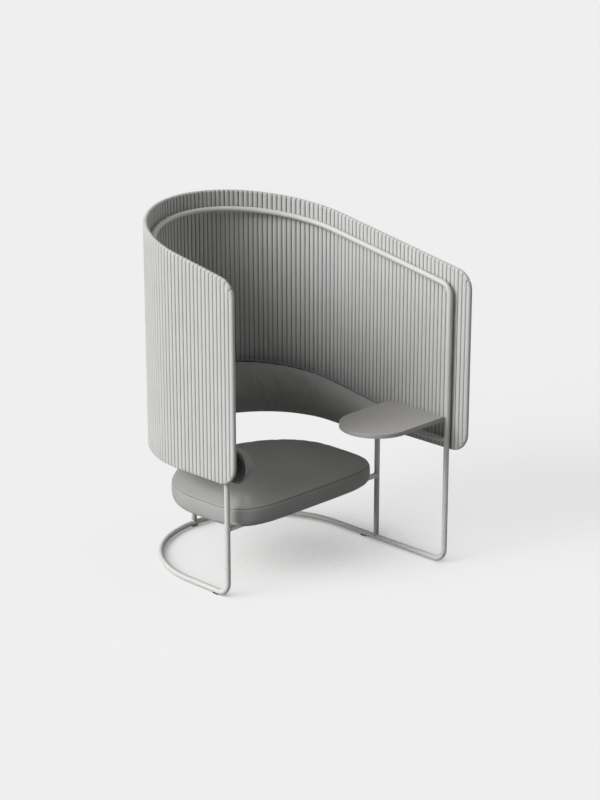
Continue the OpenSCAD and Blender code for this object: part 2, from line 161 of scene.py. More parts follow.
class Painter(Graph):
    """Builds one material's nodes."""

    def __init__(self, name: str) -> None:
        """Makes an empty material of this name."""
        self.material = bpy.data.materials.new(name)
        self.material.use_nodes = True
        super().__init__(self.material.node_tree)
        self.tree.nodes.clear()

    def place(self) -> Wire:
        """Object coordinates."""
        return self.add("ShaderNodeTexCoord", out="Object")

    def noise(self, grain: Grain) -> Wire:
        """Noise, about 0.5."""
        spot = self.add("ShaderNodeMapping", None, {"Vector": self.place(), "Scale": grain.stretch})
        return self.add("ShaderNodeTexNoise", None,
                        {"Vector": spot, "Scale": grain.scale, "Detail": grain.detail})

    def blend(self, share: Wire | Number, low: Wire | Rgb, high: Wire | Rgb) -> Wire:
        """Colour between two others, at a share of 0 to 1."""
        return self.add("ShaderNodeMix", {"data_type": "RGBA"}, {0: share, 6: low, 7: high}, out=2)

    def toned(self, share: Wire, colour: Rgb, tones: tuple[float, float]) -> Wire:
        """Colour between its darkest and its lightest tone, which are factors, at a share of 0 to 1."""
        return self.blend(share, *(shade(colour, tone) for tone in tones))

    def bump(self, height: Wire, strength: float, distance: float) -> Wire:
        """Normal from a height of 0 to 1, where 1 stands for the distance in metres."""
        return self.add("ShaderNodeBump", None,
                        {"Height": height, "Strength": strength, "Distance": distance})

    def surface(self, sockets: dict[int | str, object]) -> bpy.types.Material:
        """Ends the material in one shader with these values or wires, and hands it back."""
        shader = self.add("ShaderNodeBsdfPrincipled", None, sockets)
        self.add("ShaderNodeOutputMaterial", None, {"Surface": shader})
        return self.material


def shade(colour: Rgb, factor: float) -> Rgb:
    """Colour made lighter or darker by a factor."""
    return (colour[0] * factor, colour[1] * factor, colour[2] * factor)


# Finishes


@dataclass(frozen=True)
class Finish:
    """What every finish has."""

    name: str
    colour: Rgb

    def make(self) -> bpy.types.Material:
        """Builds the material; each kind of finish has its own."""
        raise NotImplementedError


@dataclass(frozen=True)
class Skin(Finish):
    """Finish of a piece.

    Its roughness varies by the swing and its colour between two tones, which are factors.
    The contrast spreads what mixes them. The relief is the strength and the height in
    metres of its bump, the sheen a weight and a roughness.
    """

    roughness: float
    swing: float
    tones: tuple[float, float]
    relief: tuple[float, float]
    contrast: float = 1.0
    specular: float = 0.5
    metallic: float = 0.0
    sheen: tuple[float, float] = (0.0, 0.5)

    def tone(self, p: Painter, share: Wire) -> Wire:
        """Colour at a share of about 0.5."""
        return p.toned(((share - 0.5) * self.contrast + 0.5).clamped(), self.colour, self.tones)

    def end(self, p: Painter, tone: Wire, gloss: Wire, height: Wire) -> bpy.types.Material:
        """Ends a painter's material, from its colour, the noise of its roughness and its relief."""
        return p.surface({
            "Base Color": tone,
            "Metallic": self.metallic,
            "Roughness": (gloss - 0.5) * self.swing + self.roughness,
            "Normal": p.bump(height, *self.relief),
            "Specular IOR Level": self.specular,
            "Sheen Weight": self.sheen[0],
            "Sheen Roughness": self.sheen[1],
        })


@dataclass(frozen=True)
class Hard(Skin):
    """Painted, moulded or raw hard material; the share is that of the fine grain in its tone."""

    fine: Grain = Grain(1800.0)
    broad: Grain = Grain(14.0, 3.0)
    gloss: Grain = Grain(1800.0)
    share: float = 0.0

    def make(self) -> bpy.types.Material:
        """Builds the material."""
        p = Painter(self.name)
        fine, broad, gloss = (p.noise(grain) for grain in (self.fine, self.broad, self.gloss))
        return self.end(p, self.tone(p, fine * self.share + broad * (1 - self.share)), gloss, fine)


@dataclass(frozen=True)
class Felt(Skin):
    """Pressed wool felt, mottled, with painted shade that darkens the bottoms of its grooves."""

    # colour factor at the grooves' bottoms: painted shade of the grooves
    groove_painted_shade: float = 0.28

    def make(self) -> bpy.types.Material:
        """Builds the material."""
        p = Painter(self.name)
        fibre = p.noise(Grain(900.0, 4.0, (1.0, 1.0, 0.35)))
        fleck, cloud = p.noise(Grain(260.0, 3.0)), p.noise(Grain(9.0, 3.0))
        # painted shade: the colour darkens towards the grooves' bottoms by the stored groove share
        depth = p.add("ShaderNodeAttribute", {"attribute_name": "groove"}, out="Fac").clamped()
        tone = self.tone(p, fibre * 0.5 + fleck * 0.3 + cloud * 0.2)
        tone = p.blend(depth, tone, shade(self.colour, self.groove_painted_shade))
        return self.end(p, tone, fibre, fibre * 0.7 + fleck * 0.3)


@dataclass(frozen=True)
class Cloth(Skin):
    """Close woven wool with a short nap and faint folds; its thread is in metres."""

    thread: float = 0.0011

    def make(self) -> bpy.types.Material:
        """Builds the material."""
        p = Painter(self.name)
        turns = 2 * math.pi / self.thread
        axes = p.place()
        x, y, z = (p.add("ShaderNodeSeparateXYZ", None, {0: axes}, out=axis) for axis in "XYZ")
        weave = ((x + z) * turns).sine() * ((y + z) * turns).sine() * 0.5 + 0.5
        fibre, fleck, cloud = p.noise(Grain(1300.0, 3.0)), p.noise(Grain(320.0)), p.noise(Grain(7.0, 3.0))
        fold = p.noise(Grain(9.0, 3.0, (1.0, 1.0, 3.0)))
        tone = self.tone(p, weave * 0.3 + fibre * 0.3 + fleck * 0.2 + cloud * 0.2)
        return self.end(p, tone, fibre, weave * 0.6 + fibre * 0.4 + fold * 3.0)


@dataclass(frozen=True)
class StudioFloor(Finish):
    """Pale floor in the background's tone, which keeps soft shadows of what stands on it.

    The light is the tone that the lamps give a white floor. The cast part of the tone
    takes the lamps' own shadows. The rest dims by the contact factor where things stand
    within reach, in metres, in the direction of the lean, down to the deepest shade.
    """

    light: float
    tone: float = 0.862
    cast: float = 0.15
    contact: float = 1.95
    deepest: float = 0.45
    reach: float = 1.0
    lean: Rgb = (-1.1, 0.7, 1.0)
    tint: Rgb = (1.0, 1.0, 0.996)
    paper: Grain = Grain(300.0)
    samples: int = 16

    def make(self) -> bpy.types.Material:
        """Builds the material."""
        p = Painter(self.name)
        bounce = p.toned(p.noise(self.paper), self.colour, (0.98, 1.02))
        cloth = p.add("ShaderNodeBsdfDiffuse", None, {"Color": bounce})
        cast = p.add("ShaderNodeBsdfDiffuse", None, {"Color": shade((1.0, 1.0, 1.0), self.cast / self.light)})
        way = p.add("ShaderNodeCombineXYZ", None, dict(enumerate(self.lean)))
        leaning = p.add("ShaderNodeAmbientOcclusion", {"samples": self.samples},
                        {"Distance": self.reach, "Normal": way}, out="AO")
        open_share = (1 + Vector(self.lean).normalized().z) / 2
        hidden = (1.0 - leaning / open_share).clamped()
        dim = (hidden ** 2.0 * (self.contact / self.deepest)).clamped()
        glow = (self.tone - self.cast) - dim * self.deepest
        lift = p.add("ShaderNodeEmission", None, {"Color": p.blend(glow, (0.0, 0.0, 0.0), self.tint)})
        seen = p.add("ShaderNodeAddShader", None, {0: cast, 1: lift})
        both = p.add("ShaderNodeMixShader", None, {0: p.in_view(), 1: cloth, 2: seen})
        p.add("ShaderNodeOutputMaterial", None, {"Surface": both})
        return p.material


class Coat(Enum):
    """The chair's finishes, by the record's material slots."""

    FRAME = "frame_paint"
    STEEL = "hardware_steel"
    GLIDE = "glide_plastic"
    BOARD = "board_wood"
    SEAT = "seat_fabric"
    SHELL = "shell_plastic"
    FELT = "screen_felt"
    TABLE = "table_laminate"


PEBBLE, SPECK = Grain(1400.0), Grain(1100.0)
BRUSH, PORE = Grain(700.0, 2.0, (1.0, 0.1, 1.0)), Grain(600.0, 2.0, (1.0, 0.15, 1.0))
VENEER = Grain(60.0, 6.0, (1.0, 0.08, 1.0))
MOULD = {"swing": 0.2, "tones": (0.88, 1.15), "relief": (0.3, 0.0003)}
WOOL = {"swing": 0.14, "tones": (0.82, 1.18), "relief": (0.35, 0.0005), "contrast": 2.2, "specular": 0.12}
FINISHES: dict[Coat, Finish] = {
    Coat.FRAME: Hard("frame_paint", (0.66, 0.655, 0.64), 0.5, 0.16, (0.95, 1.04), (0.08, 0.0001),
                     fine=PEBBLE, broad=Grain(6.0, 3.0), gloss=PEBBLE, share=0.3),
    Coat.STEEL: Hard("hardware_steel", (0.62, 0.62, 0.63), 0.38, 0.2, (0.9, 1.08), (0.2, 0.0001),
                     metallic=1.0, fine=BRUSH, gloss=BRUSH, share=1.0),
    Coat.GLIDE: Hard("glide_plastic", (0.02, 0.02, 0.02), 0.55, **MOULD),
    Coat.BOARD: Hard("board_wood", (0.55, 0.42, 0.27), 0.605, 0.15, (0.72, 1.2), (0.3, 0.0003),
                     fine=PORE, broad=VENEER, gloss=VENEER, share=0.3),
    Coat.SEAT: Cloth("seat_fabric", (0.4, 0.403, 0.393), 0.9, **WOOL, sheen=(0.12, 0.45)),
    Coat.SHELL: Hard("shell_plastic", (0.085, 0.086, 0.084), 0.5, **MOULD),
    Coat.FELT: Felt("screen_felt", (0.615, 0.615, 0.603), 0.95, 0.12, (0.86, 1.12), (0.55, 0.0009),
                    contrast=2.6, specular=0.1, sheen=(0.15, 0.5)),
    Coat.TABLE: Hard("table_laminate", (0.43, 0.422, 0.412), 0.45, 0.14, (0.93, 1.07), (0.15, 0.0001),
                     specular=0.25, fine=SPECK, broad=Grain(5.0, 3.0), gloss=Grain(18.0, 4.0), share=0.5),
}
# nearly black colour of the cord along the seat's seam: painted shade of the seam's crease
SEAM_PAINTED_SHADE = Cloth("seam_painted_shade", (0.075, 0.078, 0.075), 0.8, **WOOL, sheen=(0.1, 0.45), thread=0.0008)


class Wardrobe:
    """Builds each finish once and puts it on pieces."""

    def __init__(self) -> None:
        """Starts empty."""
        self.made: dict[str, bpy.types.Material] = {}

    def material(self, finish: Finish) -> bpy.types.Material:
        """Material of a finish, built on first use."""
        if finish.name not in self.made:
            self.made[finish.name] = finish.make()
        return self.made[finish.name]

    def dress(self, piece: bpy.types.Object, coat: Coat, finish: Finish | None = None) -> None:
        """Gives a piece its one material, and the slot's own unless another is given."""
        piece.data.materials.clear()
        piece.data.materials.append(self.material(finish or FINISHES[coat]))

    def dress_nodes(self, coat: Coat, *names: str) -> None:
        """Gives the CAD nodes of these names a slot's material."""
        material = self.material(FINISHES[coat])
        for name in names:
            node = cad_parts[name]
            if not node.material_slots:
                node.data.materials.append(material)
            for slot in node.material_slots:
                slot.material = material
            LOG.info("node %s keeps its CAD mesh, finish %s", name, coat.value)


WARDROBE = Wardrobe()


# Meshes


def place_object(name: str, data: bpy.types.ID) -> bpy.types.Object:
    """Puts a new object of a mesh, a lamp or a camera into the scene, at the origin."""
    thing = bpy.data.objects.new(name, data)
    bpy.context.scene.collection.objects.link(thing)
    return thing


def mesh_piece(name: str, points: Iterable, faces: Iterable, smooth: bool = True) -> bpy.types.Object:
    """Makes an object of points in metres and of faces, which are tuples of point numbers."""
    mesh = bpy.data.meshes.new(name)
    mesh.from_pydata([tuple(map(float, p)) for p in points], [], [tuple(map(int, f)) for f in faces])
    mesh.polygons.foreach_set("use_smooth", [smooth] * len(mesh.polygons))
    mesh.update()
    return place_object(name, mesh)


def face_outwards(piece: bpy.types.Object, merge: bool = True) -> None:
    """Turns every face outwards, after doubled points are merged."""
    work = bmesh.new()
    work.from_mesh(piece.data)
    if merge:
        bmesh.ops.remove_doubles(work, verts=work.verts, dist=1e-6)
    bmesh.ops.recalc_face_normals(work, faces=work.faces)
    work.to_mesh(piece.data)
    work.free()
    piece.data.update()


def solid_piece(name: str, points: Iterable, faces: Iterable) -> bpy.types.Object:
    """Makes an object of a closed skin, whose faces are turned outwards."""
    piece = mesh_piece(name, points, faces)
    face_outwards(piece)
    return piece


def modify(piece: bpy.types.Object, kind: str, **settings: object) -> bpy.types.Modifier:
    """Adds a modifier of a kind, with these settings."""
    modifier = piece.modifiers.new(kind.lower(), kind)
    for key, value in settings.items():
        setattr(modifier, key, value)
    return modifier


def flatten(piece: bpy.types.Object) -> None:
    """Turns what the modifiers make into the piece's own mesh and removes them."""
    graph = bpy.context.evaluated_depsgraph_get()
    graph.update()
    done = bpy.data.meshes.new_from_object(piece.evaluated_get(graph))
    old = piece.data
    piece.modifiers.clear()
    piece.data = done
    bpy.data.meshes.remove(old)


def rows_of(piece: bpy.types.Object, what: str = "co") -> np.ndarray:
    """Points of a mesh as rows, or their normals."""
    flat = np.zeros(len(piece.data.vertices) * 3)
    piece.data.vertices.foreach_get(what, flat)
    return flat.reshape(-1, 3)


def set_points(piece: bpy.types.Object, points: np.ndarray) -> None:
    """Gives a mesh new points."""
    piece.data.vertices.foreach_set("co", points.astype(np.float32).ravel())
    piece.data.update()


def finish_piece(piece: bpy.types.Object, coat: Coat, nodes: Iterable[str] = (),
                 finish: Finish | None = None) -> None:
    """Dresses a piece, lets it ride and names what it stands for.

    Args:
        piece: The finished mesh.
        coat: The record's slot.
        nodes: CAD nodes that it stands for.
        finish: Another finish than the slot's own.
    """
    WARDROBE.dress(piece, coat, finish)
    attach(piece, BODY)
    if nodes:
        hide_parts(*nodes)
    spots = rows_of(piece)
    LOG.info("piece %s: %d faces, %s to %s, stands for %s", piece.name, len(piece.data.polygons),
             spots.min(0).round(3), spots.max(0).round(3), list(nodes) or "nothing")


def traced(piece: bpy.types.Object, starts: np.ndarray, ways: np.ndarray, sink: float = 0.0002) -> np.ndarray:
    """Points where rays first meet a mesh.

    Args:
        piece: The mesh.
        starts: Where the rays start.
        ways: Their directions.
        sink: Distance that each point is moved on along its ray, in metres.

    Returns:
        The points; a ray that meets nothing gives none.
    """
    tree = BVHTree.FromPolygons([v.co for v in piece.data.vertices], [p.vertices for p in piece.data.polygons])
    hits = [(tree.ray_cast(Vector(start), Vector(way))[0], way) for start, way in zip(starts, ways)]
    return np.array([np.array(spot) + way * sink for spot, way in hits if spot is not None])


def grid_faces(rings: int, sides: int, closed: bool = False) -> Faces:
    """Quads between rings of points; in a closed form the last ring meets the first."""
    faces = []
    for ring in range(rings if closed else rings - 1):
        near, far = ring * sides, (ring + 1) % rings * sides
        faces += [(near + i, near + (i + 1) % sides, far + (i + 1) % sides, far + i) for i in range(sides)]
    return faces


def flat_caps(rings: int, sides: int) -> Faces:
    """Faces that close the first and the last of some rings of points."""
    return [tuple(range(sides))[::-1], tuple(range((rings - 1) * sides, rings * sides))]


def fanned_skin(rings: Sequence[np.ndarray]) -> tuple[np.ndarray, Faces]:
    """Closed skin over rings of points, with a fan at each end."""
    n, m = len(rings[0]), len(rings)
    points = np.concatenate([*rings, rings[0].mean(0)[None], rings[-1].mean(0)[None]])
    last = (m - 1) * n
    faces = grid_faces(m, n) + [(m * n, (i + 1) % n, i) for i in range(n)]
    faces += [(m * n + 1, last + i, last + (i + 1) % n) for i in range(n)]
    return points, faces


def tube_mesh(path: np.ndarray, radius: float, sides: int = 32, closed: bool = False) -> tuple[np.ndarray, Faces]:
    """Round tube along a path.

    Args:
        path: Points of its centre line.
        radius: Its radius.
        sides: Points round the tube.
        closed: Whether the path is a ring.

    Returns:
        Points and faces, with flat caps on an open path.
    """
    if closed:
        heading = np.roll(path, -1, 0) - np.roll(path, 1, 0)
    else:
        heading = np.gradient(path, axis=0)
    heading /= np.linalg.norm(heading, axis=1, keepdims=True)
    side = np.cross(heading[0], (0.0, 0.0, 1.0))
    if np.linalg.norm(side) < 0.1:
        side = np.cross(heading[0], (0.0, 1.0, 0.0))
    angles = np.arange(sides) * 2 * math.pi / sides
    points = []
    for spot, ahead in zip(path, heading):
        side = side - ahead * (side @ ahead)
        side /= np.linalg.norm(side)
        ring = np.outer(np.cos(angles), side) + np.outer(np.sin(angles), np.cross(ahead, side))
        points.append(spot + ring * radius)
    faces = grid_faces(len(path), sides, closed) + ([] if closed else flat_caps(len(path), sides))
    return np.concatenate(points), faces


def arc_points(centre: Sequence[float], first: Sequence[float], second: Sequence[float],
               angles: np.ndarray) -> np.ndarray:
    """Points of an arc; the vectors lead from its centre to angle 0 and to a quarter turn."""
    return np.asarray(centre, float) + np.outer(np.cos(angles), first) + np.outer(np.sin(angles), second)


def one_path(*parts: np.ndarray) -> np.ndarray:
    """Joins runs of points and drops the doubled ones."""
    joined = np.concatenate(parts)
    return joined[np.r_[True, np.linalg.norm(np.diff(joined, axis=0), axis=1) > 1e-5]]


def powered(values: np.ndarray, power: float | np.ndarray) -> np.ndarray:
    """Values raised to a power, with their signs kept."""
    return np.sign(values) * np.abs(values) ** power


# The plan that frame, screen and backrest share


@dataclass(frozen=True)
class Plan:
    """A half circle with two straight arms that run to the front."""

    centre_y: float = 0.107
    half_w: float = 0.420
    left_leg: float = 0.227
    right_leg: float = 0.594
    tube_r: float = 0.011
    slope: float = math.tan(math.radians(10.6))


PLAN = Plan()


@dataclass(frozen=True)
class Line:
    """A line of the plan: its radius and the length of its left arm.

    Places on it are given by runs, which are distances from the left arm's front end.
    """

    radius: float
    left_arm: float

    def turns(self, runs: np.ndarray) -> np.ndarray:
        """Turns about the circle's centre, in radians."""
        return math.pi - np.clip((runs - self.left_arm) / self.radius, 0.0, math.pi)

    def outwards(self, runs: np.ndarray) -> np.ndarray:
        """Outward normals."""
        turn = self.turns(runs)
        return np.stack([np.cos(turn), np.sin(turn)], -1)

    def spots(self, runs: np.ndarray, aside: np.ndarray | float = 0.0) -> np.ndarray:
        """X and Y of places, or of those that lie so far aside of them, outwards."""
        reach, turn = self.radius + aside, self.turns(runs)
        over = (np.minimum(runs - self.left_arm, 0.0)
                - np.maximum(runs - self.left_arm - math.pi * self.radius, 0.0))
        return np.stack([reach * np.cos(turn), PLAN.centre_y + reach * np.sin(turn) + over], -1)


# Frame


@dataclass
class TubeFrame:
    """Bent tube frame with its welds."""

    bend_r: float = 0.050
    floor_z: float = 0.015
    top_z: float = 1.263
    screen_rail_z: float = 0.524
    seat_bar_z: float = 0.286
    weld_r: float = 0.0017
    weld_out: float = 1.02

    def rail(self, left: float, right: float, y: float, z: float) -> np.ndarray:
        """Centre line of a level rail, by Y of its arms' ends, Y of its half circle's centre and its height."""
        w = PLAN.half_w
        return one_path(
            np.linspace((-w, left, z), (-w, y, z), 6),
            arc_points((0, y, z), (-w, 0, 0), (0, w, 0), np.linspace(0.0, math.pi, 121)),
            np.linspace((w, y, z), (w, right, z), 10))

    def floor_path(self) -> np.ndarray:
        """Centre line of the floor rail with both bends that rise to the legs."""
        w, y, z, b = PLAN.half_w, PLAN.centre_y, self.floor_z, self.bend_r
        left, right = y - PLAN.left_leg + b, y - PLAN.right_leg + b
        quarter = np.linspace(0.0, math.pi / 2, 19)
        return one_path(
            arc_points((-w, left, z + b), (0, -b, 0), (0, 0, -b), quarter),
            self.rail(left, right, y, z),
            arc_points((w, right, z + b), (0, 0, -b), (0, -b, 0), quarter))

    def top_path(self) -> np.ndarray:
        """Centre line of the sloping top rail with both bends that fall to the legs."""
        tilt = math.atan(PLAN.slope)
        turn = math.pi / 2 - tilt
        w, b = PLAN.half_w, self.bend_r
        left, right = (-(leg - b * (1 - math.cos(turn))) / math.cos(tilt)
                       for leg in (PLAN.left_leg, PLAN.right_leg))
        bend = np.linspace(0.0, turn, 17)
        flat = one_path(
            arc_points((-w, left, -b), (0, 0, b), (0, -b, 0), bend[::-1]),
            self.rail(left, right, w * (1 / math.cos(tilt) - 1), 0.0),
            arc_points((w, right, -b), (0, 0, b), (0, -b, 0), bend))
        tilted = np.array(Matrix.Rotation(tilt, 3, "X"))
        return flat @ tilted.T + np.array([0.0, PLAN.centre_y, self.top_z])

    def loop_path(self) -> np.ndarray:
        """Centre line of the bent loop: floor rail, right leg, top rail and left leg."""
        top, floor = self.top_path(), self.floor_path()
        right, left = (np.linspace(start, end, 26)[1:-1] for start, end in ((floor[-1], top[-1]), (top[0], floor[0])))
        return np.concatenate([floor, right, top[::-1], left])

    def bead(self, centre: Rgb, along: Rgb, into: Rgb) -> np.ndarray:
        """Line where a tube's end meets the side of another tube of the same size.

        Args:
            centre: The point where both centre lines cross.
            along: Direction of the tube that goes through.
            into: Direction from there into the tube that ends.

        Returns:
            A ring of points, just outside both tubes.
        """
        r = PLAN.tube_r
        turn = np.linspace(0.0, 2 * math.pi, 48, endpoint=False)
        across = r * np.sin(turn)
        depth = np.sqrt(np.maximum(r * r - across * across, 0.0)) + self.weld_r * 0.35
        return (np.asarray(centre, float) + np.outer(r * self.weld_out * np.cos(turn), along)
                + np.outer(across * self.weld_out, np.cross(along, into)) + np.outer(depth, into))

    def welds(self) -> None:
        """Builds the small smooth beads of the frame's joints."""
        w, y = PLAN.half_w, PLAN.centre_y
        back, side = y + w, y - PLAN.left_leg
        joints = [
            ((w, side, self.floor_z), (0, 1, 0), (0, 0, 1)),
            ((w, side, self.screen_rail_z), (0, 1, 0), (0, 0, -1)),
            ((0, back, self.floor_z), (1, 0, 0), (0, 0, 1)),
            ((0, back, self.screen_rail_z), (1, 0, 0), (0, 0, -1)),
            ((-w, side, self.screen_rail_z), (0, 0, 1), (0, 1, 0)),
            ((w, y - PLAN.right_leg, self.screen_rail_z), (0, 0, 1), (0, 1, 0)),
            ((-w, side, self.seat_bar_z), (0, 0, 1), (1, 0, 0)),
            ((w, side, self.seat_bar_z), (0, 0, 1), (-1, 0, 0)),
            ((0, side, self.seat_bar_z), (1, 0, 0), (0, 1, 0)),
            ((0, back, self.seat_bar_z), (0, 0, 1), (0, -1, 0)),
        ]
        points, faces = [], []
        for number, joint in enumerate(joints):
            ring, skin = tube_mesh(self.bead(*joint), self.weld_r, 8, closed=True)
            points.append(ring)
            faces += [tuple(number * len(ring) + i for i in f) for f in skin]
        finish_piece(solid_piece("frame_welds", np.concatenate(points), faces), Coat.FRAME)

    def build(self) -> None:
        """Builds every tube, and dresses the small CAD parts of the frame."""
        w, y, low, bar, high = PLAN.half_w, PLAN.centre_y, self.floor_z, self.seat_bar_z, self.screen_rail_z
        side, back = y - PLAN.left_leg, y + w
        loop = solid_piece("frame_loop", *tube_mesh(self.loop_path(), PLAN.tube_r, closed=True))
        finish_piece(loop, Coat.FRAME, ("floor_rail", "right_leg", "top_rail", "top_bends", "left_leg"))
        for name, node, path in (
            ("frame_screen_rail", "screen_rail", self.rail(side, y - PLAN.right_leg, y, high)),
            ("frame_side_post", "side_post", np.linspace((w, side, low), (w, side, high), 6)),
            ("frame_rear_post", "rear_post", np.linspace((0, back, low), (0, back, high), 6)),
            ("frame_cross_bar", "seat_cross_bar", np.linspace((-w, side, bar), (w, side, bar), 8)),
            ("frame_spine_bar", "seat_spine_bar", np.linspace((0, side, bar), (0, back, bar), 8)),
        ):
            finish_piece(solid_piece(name, *tube_mesh(path, PLAN.tube_r)), Coat.FRAME, (node,))
        self.welds()
        WARDROBE.dress_nodes(Coat.FRAME, "backrest_bosses", "screen_bosses")
        WARDROBE.dress_nodes(Coat.STEEL, "seat_plates", "seat_screws", "backrest_screws", "screen_screws",
                             "table_screws")


@dataclass
class Glides:
    """Three moulded pads that grip the floor rail from below."""

    length: float = 0.028
    width: float = 0.014
    height: float = 0.0095
    edge: float = 0.0015
    behind_leg: float = 0.068

    def build(self) -> None:
        """Builds the pads with rounded edges."""
        back, side = PLAN.centre_y + PLAN.half_w, PLAN.centre_y - PLAN.left_leg + self.behind_leg
        across, lengthways = (self.width, self.length, self.height), (self.length, self.width, self.height)
        work = bmesh.new()
        for x, y, size in ((-PLAN.half_w, side, across), (PLAN.half_w, side, across), (0.0, back, lengthways)):
            shape = Matrix.LocRotScale(Vector((x, y, self.height / 2)), None, Vector(size))
            bmesh.ops.create_cube(work, size=1.0, matrix=shape)
        bmesh.ops.bevel(work, geom=list(work.edges), offset=self.edge, segments=3, profile=0.5, affect="EDGES")
        mesh = bpy.data.meshes.new("glide_pads")
        work.to_mesh(mesh)
        work.free()
        finish_piece(place_object("glide_pads", mesh), Coat.GLIDE, ("glides",))


# Screen


@dataclass
class RibTree:
    """Geometry Nodes that press the ribs into the screen's smooth skin.

    The depth of a groove is in metres, its half width in shares of the ribs' pitch.
    """

    depth: float = 0.0042
    width: float = 0.17

    def make(self, material: bpy.types.Material) -> bpy.types.GeometryNodeTree:
        """Builds the tree, with inputs named Depth and Width, which gives the ribs this material."""
        tree = bpy.data.node_groups.new("ribs", "GeometryNodeTree")
        for name, way, kind in (("Geometry", "INPUT", "Geometry"), ("Depth", "INPUT", "Float"),
                                ("Width", "INPUT", "Float"), ("Geometry", "OUTPUT", "Geometry")):
            tree.interface.new_socket(name, in_out=way, socket_type=f"NodeSocket{kind}")
        g = Graph(tree)
        entry = tree.nodes.new("NodeGroupInput")
        skin, depth, width = (Wire(g, entry.outputs[n]) for n in range(3))
        run, fade, way = (g.add("GeometryNodeInputNamedAttribute", {"data_type": kind}, {"Name": name})
                          for name, kind in (("rib", "FLOAT"), ("press", "FLOAT"), ("outwards", "FLOAT_VECTOR")))
        nearest = g.math("MINIMUM", run.fract(), 1.0 - run.fract())
        hollow = (1.0 - nearest / width).clamped() ** 1.5
        push = hollow * depth * fade * -1.0
        offset = g.add("ShaderNodeVectorMath", {"operation": "SCALE"}, {0: way, "Scale": push})
        moved = g.add("GeometryNodeSetPosition", None, {"Geometry": skin, "Offset": offset})
        # the groove share is kept as the mask of the felt's painted shade in its grooves
        kept = g.add("GeometryNodeStoreNamedAttribute", {"data_type": "FLOAT", "domain": "POINT"},
                     {"Geometry": moved, "Name": "groove", "Value": hollow * fade})
        whole = g.add("GeometryNodeRealizeInstances", None, {"Geometry": kept})
        dressed = g.add("GeometryNodeSetMaterial", None, {"Geometry": whole, "Material": material})
        leave = tree.nodes.new("NodeGroupOutput")
        tree.links.new(dressed.socket, leave.inputs[0])
        return tree

    def press(self, piece: bpy.types.Object, material: bpy.types.Material) -> None:
        """Runs the tree on a piece with the attributes rib, press and outwards, and keeps the result."""
        tree = self.make(material)
        modifier = modify(piece, "NODES", node_group=tree)
        values = {"Depth": self.depth, "Width": self.width}
        for item in tree.interface.items_tree:
            if item.item_type == "SOCKET" and item.in_out == "INPUT" and item.name in values:
                modifier[item.identifier] = values[item.name]
        flatten(piece)


